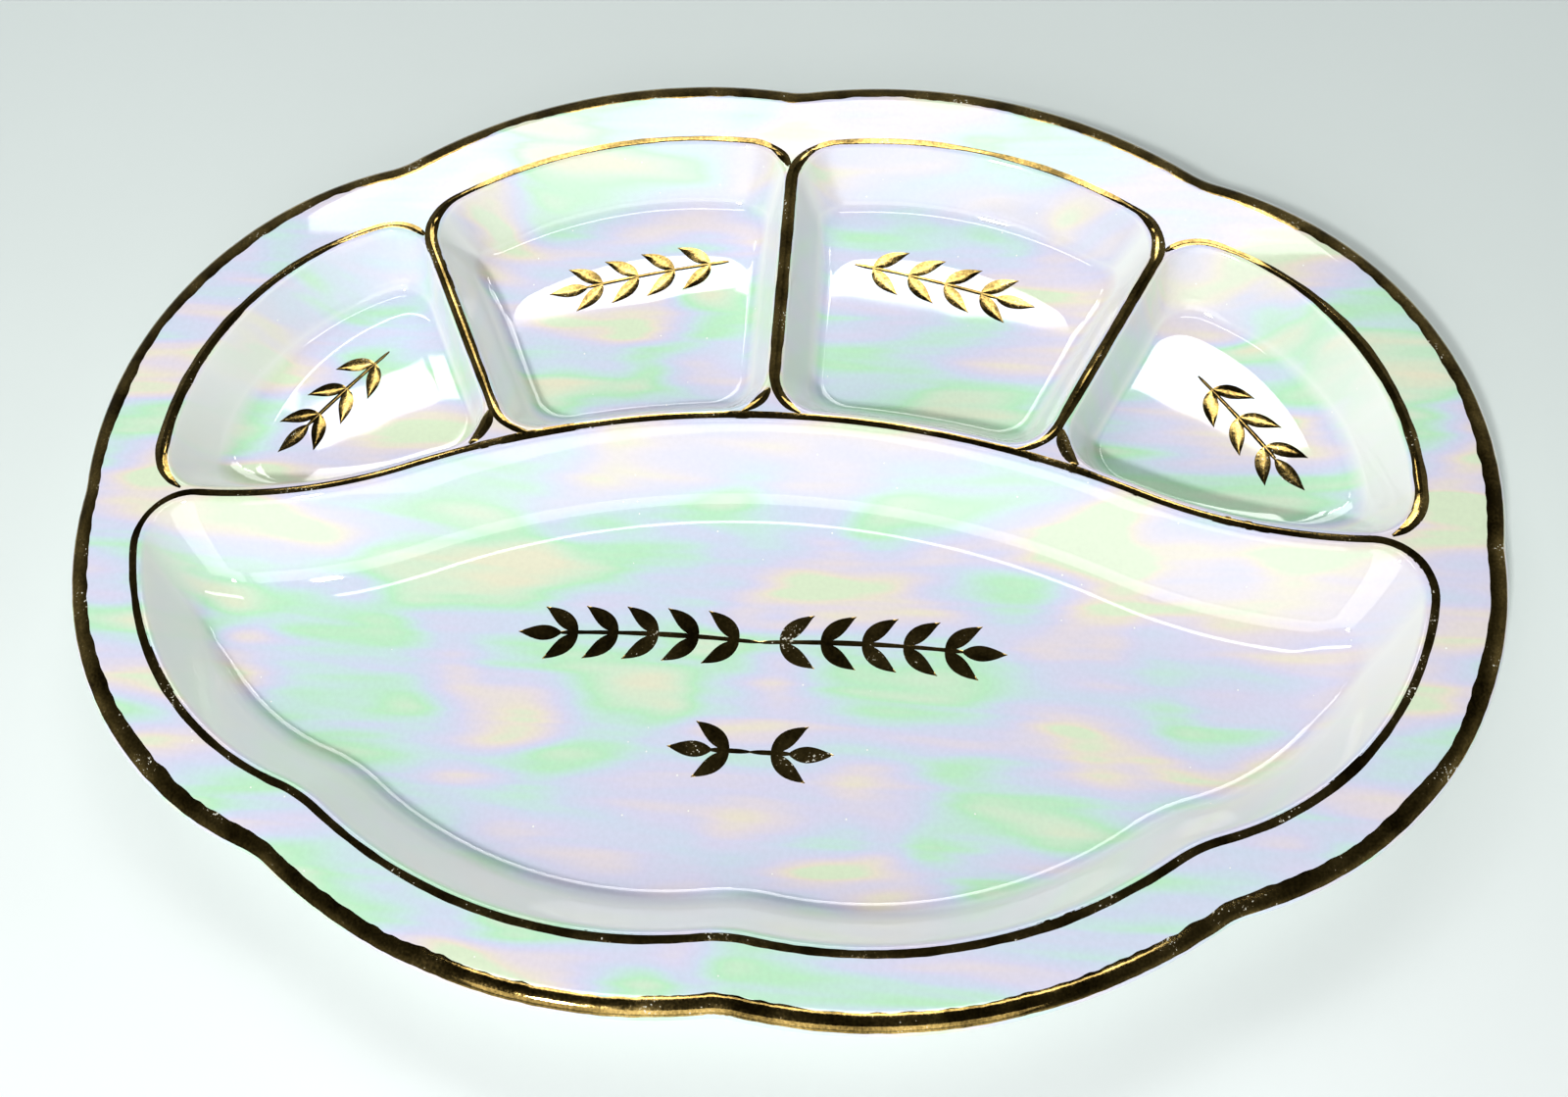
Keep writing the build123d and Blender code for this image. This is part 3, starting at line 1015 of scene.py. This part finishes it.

# %% [markdown]
# The plate lies on a plain pale table. Its colour is paler towards the front and darker towards the back:
# painted light, a fall-off from the lamps in front, which also deepens the shadow behind the rim. The room
# around it has one bright wall in front, dim walls elsewhere and a darker ceiling. An even white room would
# be simpler, but the gold would mirror it from all sides and look pale.

# %% Table and room
bpy.ops.object.select_all(action="DESELECT")
bpy.ops.mesh.primitive_plane_add(size=8)
table = bpy.context.object
table.name = "table"
painted, tree, shader, place = new_material("pale_table_with_painted_light")
cloud = add_noise(tree, place, (120, 120, 120), detail=4.0)
# Painted light: paler towards the front and darker towards the back, as the light from the front falls off.
depth = add_node(tree, "ShaderNodeSeparateXYZ", {0: place}).outputs["Y"]
painted_front_light = add_range(tree, depth, 0.25, -0.25, 0.0, 0.9)
cloud_and_painted_light = add_math(tree, "MULTIPLY_ADD", cloud, 0.1, painted_front_light)
table_colour = add_ramp(tree, cloud_and_painted_light, [(0.05, "#c6cfcd"), (0.5, "#dce5e2"), (0.95, "#f6fafa")])
link_inputs(tree, shader, base_color=table_colour)
shader.inputs["Roughness"].default_value = 0.6
dress(table, painted)

front_light = 2.2
side_light = 0.22
ceiling_share = 0.3
world = bpy.data.worlds.new("room")
bpy.context.scene.world = world
world.use_nodes = True
tree = world.node_tree
direction = add_node(tree, "ShaderNodeTexCoord").outputs["Generated"]
direction = add_node(tree, "ShaderNodeSeparateXYZ", {0: direction}).outputs
walls = add_range(tree, direction["Y"], -0.92, -0.75, front_light, side_light)
strength = add_math(tree, "MULTIPLY", walls, add_range(tree, direction["Z"], 0.5, 0.75, 1.0, ceiling_share))
room = tree.nodes["Background"]
room.inputs["Color"].default_value = linear("#f1f6f5")
tree.links.new(strength, room.inputs["Strength"])
print(table.name, "with", painted.name, "in the", world.name)

# %% [markdown]
# A small key lamp in front throws the faint shadow behind the rim, and a wide window below it the gold stripe
# on the front of the lip. Four strips stand in a fan behind the plate, one for the bright bar on the floor of
# each small well. A wide soft box behind them gives the bright rim and the golden lines at the back, and a
# tube overhead the streak along the ridge. One large lamp would light the plate as well, but a glaze shows
# the shape of each lamp, so each highlight has its own.

# %% Lamps
lamp_aim = Vector((0, 0, 0.02))


def add_lamp(name, start, end, width, watts):
    """A rectangular lamp between two points in metres, facing the plate."""
    start, end = Vector(start), Vector(end)
    data = bpy.data.lights.new(name, "AREA")
    data.shape = "RECTANGLE"
    data.size = (end - start).length
    data.size_y = width
    data.energy = watts
    lamp = bpy.data.objects.new(name, data)
    bpy.context.scene.collection.objects.link(lamp)
    along = (end - start).normalized()
    back = (start + end) / 2 - lamp_aim
    back = (back - along * back.dot(along)).normalized()
    turn = Matrix((along, back.cross(along), back)).transposed()
    lamp.matrix_world = Matrix.Translation((start + end) / 2) @ turn.to_4x4()
    print(f"{name}: {watts} W")


add_lamp("key", (-0.62, -1.08, 1.56), (-0.50, -1.08, 1.56), 0.12, 21.5)
add_lamp("front_window", (-0.75, -1.1, 1.05), (0.55, -1.1, 1.05), 0.45, 4.0)
add_lamp("left_outer_strip", (-0.63, 0.515, 1.0), (-0.50, 0.585, 1.0), 0.05, 0.2)
add_lamp("left_inner_strip", (-0.45, 0.68, 1.0), (-0.17, 0.745, 1.0), 0.045, 0.38)
add_lamp("right_inner_strip", (-0.08, 0.74, 1.0), (0.22, 0.695, 1.0), 0.05, 0.45)
add_lamp("right_outer_strip", (0.28, 0.635, 1.0), (0.43, 0.545, 1.0), 0.06, 0.32)
add_lamp("rim_softbox", (-0.72, 0.94, 1.0), (0.52, 0.94, 1.0), 0.32, 6.2)
add_lamp("ridge_tube", (-0.45, -0.25, 1.1), (0.45, -0.25, 1.1), 0.06, 1.2)

# %% [markdown]
# The camera stands close above the front edge, a little to the right, as in the photograph. It could be
# turned by eye, but its place and turn were found from the notches of the edge. The lens gives the same
# perspective on a picture of 1600 pixels.

# %% Camera
photo_width = 1600
focal_pixels = 1450
camera_place = Vector((40.74, -156.48, 367.43))
camera_turn = (radians(22.636), radians(3.981), radians(4.275))
camera_data = bpy.data.cameras.new("camera")
camera = bpy.data.objects.new("camera", camera_data)
bpy.context.scene.collection.objects.link(camera)
camera.location = camera_place * MM
camera.rotation_euler = camera_turn
camera_data.sensor_width = 36
camera_data.lens = focal_pixels / photo_width * camera_data.sensor_width
camera_data.clip_start = 0.01
bpy.context.scene.camera = camera
bpy.context.scene.view_settings.view_transform = "Standard"
print(f"camera with a lens of {camera_data.lens:.1f} mm")
